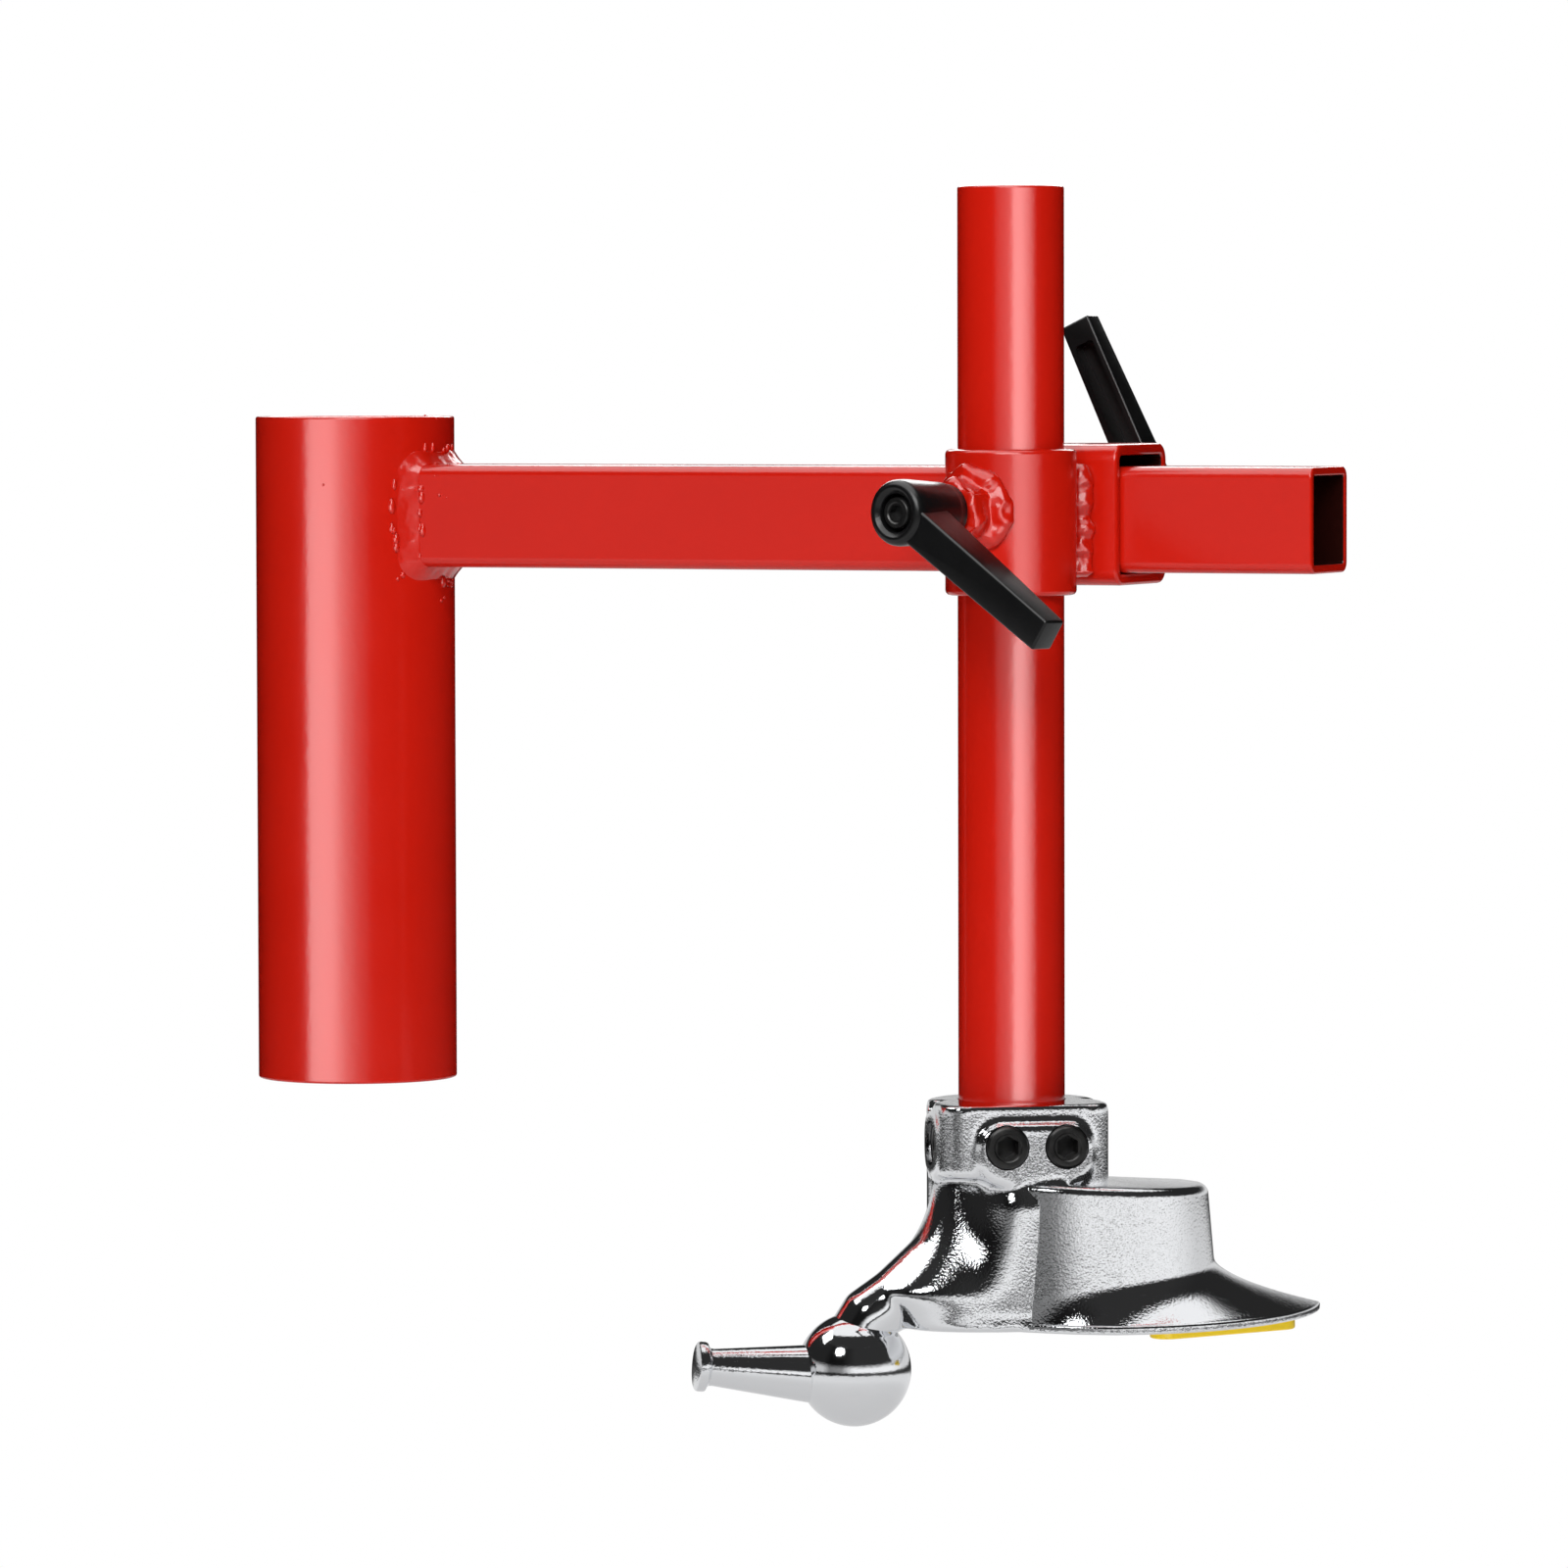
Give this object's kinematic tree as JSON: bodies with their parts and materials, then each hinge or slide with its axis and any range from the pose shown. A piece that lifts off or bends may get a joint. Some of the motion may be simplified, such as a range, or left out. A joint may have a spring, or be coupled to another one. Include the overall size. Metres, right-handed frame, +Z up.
{
  "type": "tyre changer swing arm",
  "caption": "Swing arm that slides over a tyre changer's post and carries, on a clamped sliding bracket and a drop post, a cast mount and demount head",
  "frame": {"origin": "on the sleeve's axis, in the plane of its lower rim", "axes": "+Z up along the sleeve, +X along the arm from the sleeve to its open end, +Y to the side away from the drop post"},
  "size_m": [0.3338, 0.157, 0.3488],
  "materials": {
    "red_paint": "gloss red powder coat on welded steel tube",
    "cast_chrome": "chrome plate on a slightly grainy steel casting",
    "black_lever": "black textured coat on a die-cast lever, bright along worn edges",
    "black_oxide": "black oxide on hardened steel screws",
    "plain_steel": "bare turned steel",
    "yellow_plastic": "moulded yellow plastic"
  },
  "bodies": {
    "arm": {"post_sleeve": "red_paint", "swing_arm": "red_paint", "arm_weld": "red_paint"},
    "slider": {"arm_bracket": "red_paint", "post_collar": "red_paint", "left_collar_weld": "red_paint", "right_collar_weld": "red_paint", "front_clamp_nut": "red_paint", "front_nut_weld": "red_paint", "rear_clamp_nut": "red_paint", "rear_nut_weld": "red_paint"},
    "post": {"drop_post": "red_paint"},
    "head": {"mount_head": "cast_chrome", "front_set_screw_left": "black_oxide", "front_set_screw_right": "black_oxide", "side_set_screw": "black_oxide", "bill_insert": "yellow_plastic"},
    "front_stud": {"front_lever_stud": "plain_steel", "front_lever_screw": "black_oxide", "front_lever_spring": "plain_steel"},
    "front_handle": {"front_lever_handle": "black_lever"},
    "rear_stud": {"rear_lever_stud": "plain_steel", "rear_lever_screw": "black_oxide", "rear_lever_spring": "plain_steel"},
    "rear_handle": {"rear_lever_handle": "black_lever"}
  },
  "joints": [
    {"name": "bracket_slide", "type": "slide", "parent": "arm", "child": "slider", "axis": [1, 0, 0], "range_m": [-0.09, 0.055]},
    {"name": "post_slide", "type": "slide", "parent": "slider", "child": "post", "axis": [0, 0, 1], "range_m": [-0.07, 0.135]},
    {"name": "head_turn", "type": "hinge", "parent": "post", "child": "head", "pos_m": [0.223, -0.0374, 0.003], "axis": [0, 0, 1], "continuous": true},
    {"name": "front_lever_turn", "type": "hinge", "parent": "slider", "child": "front_stud", "pos_m": [0.21525, -0.06274, 0.169], "axis": [-0.2924, -0.9563, 0], "range_deg": [0, 180]},
    {"name": "front_handle_lift", "type": "slide", "parent": "front_stud", "child": "front_handle", "axis": [-0.2924, -0.9563, 0], "range_m": [0, 0.004], "stiffness_N_per_m": 800, "springref_m": -0.004, "deforming": ["front_lever_spring"]},
    {"name": "rear_lever_turn", "type": "hinge", "parent": "slider", "child": "rear_stud", "pos_m": [0.236, 0.0297, 0.1674], "axis": [0, 1, 0], "range_deg": [0, 180]},
    {"name": "rear_handle_lift", "type": "slide", "parent": "rear_stud", "child": "rear_handle", "axis": [0, 1, 0], "range_m": [0, 0.004], "stiffness_N_per_m": 800, "springref_m": -0.004, "deforming": ["rear_lever_spring"]}
  ]
}
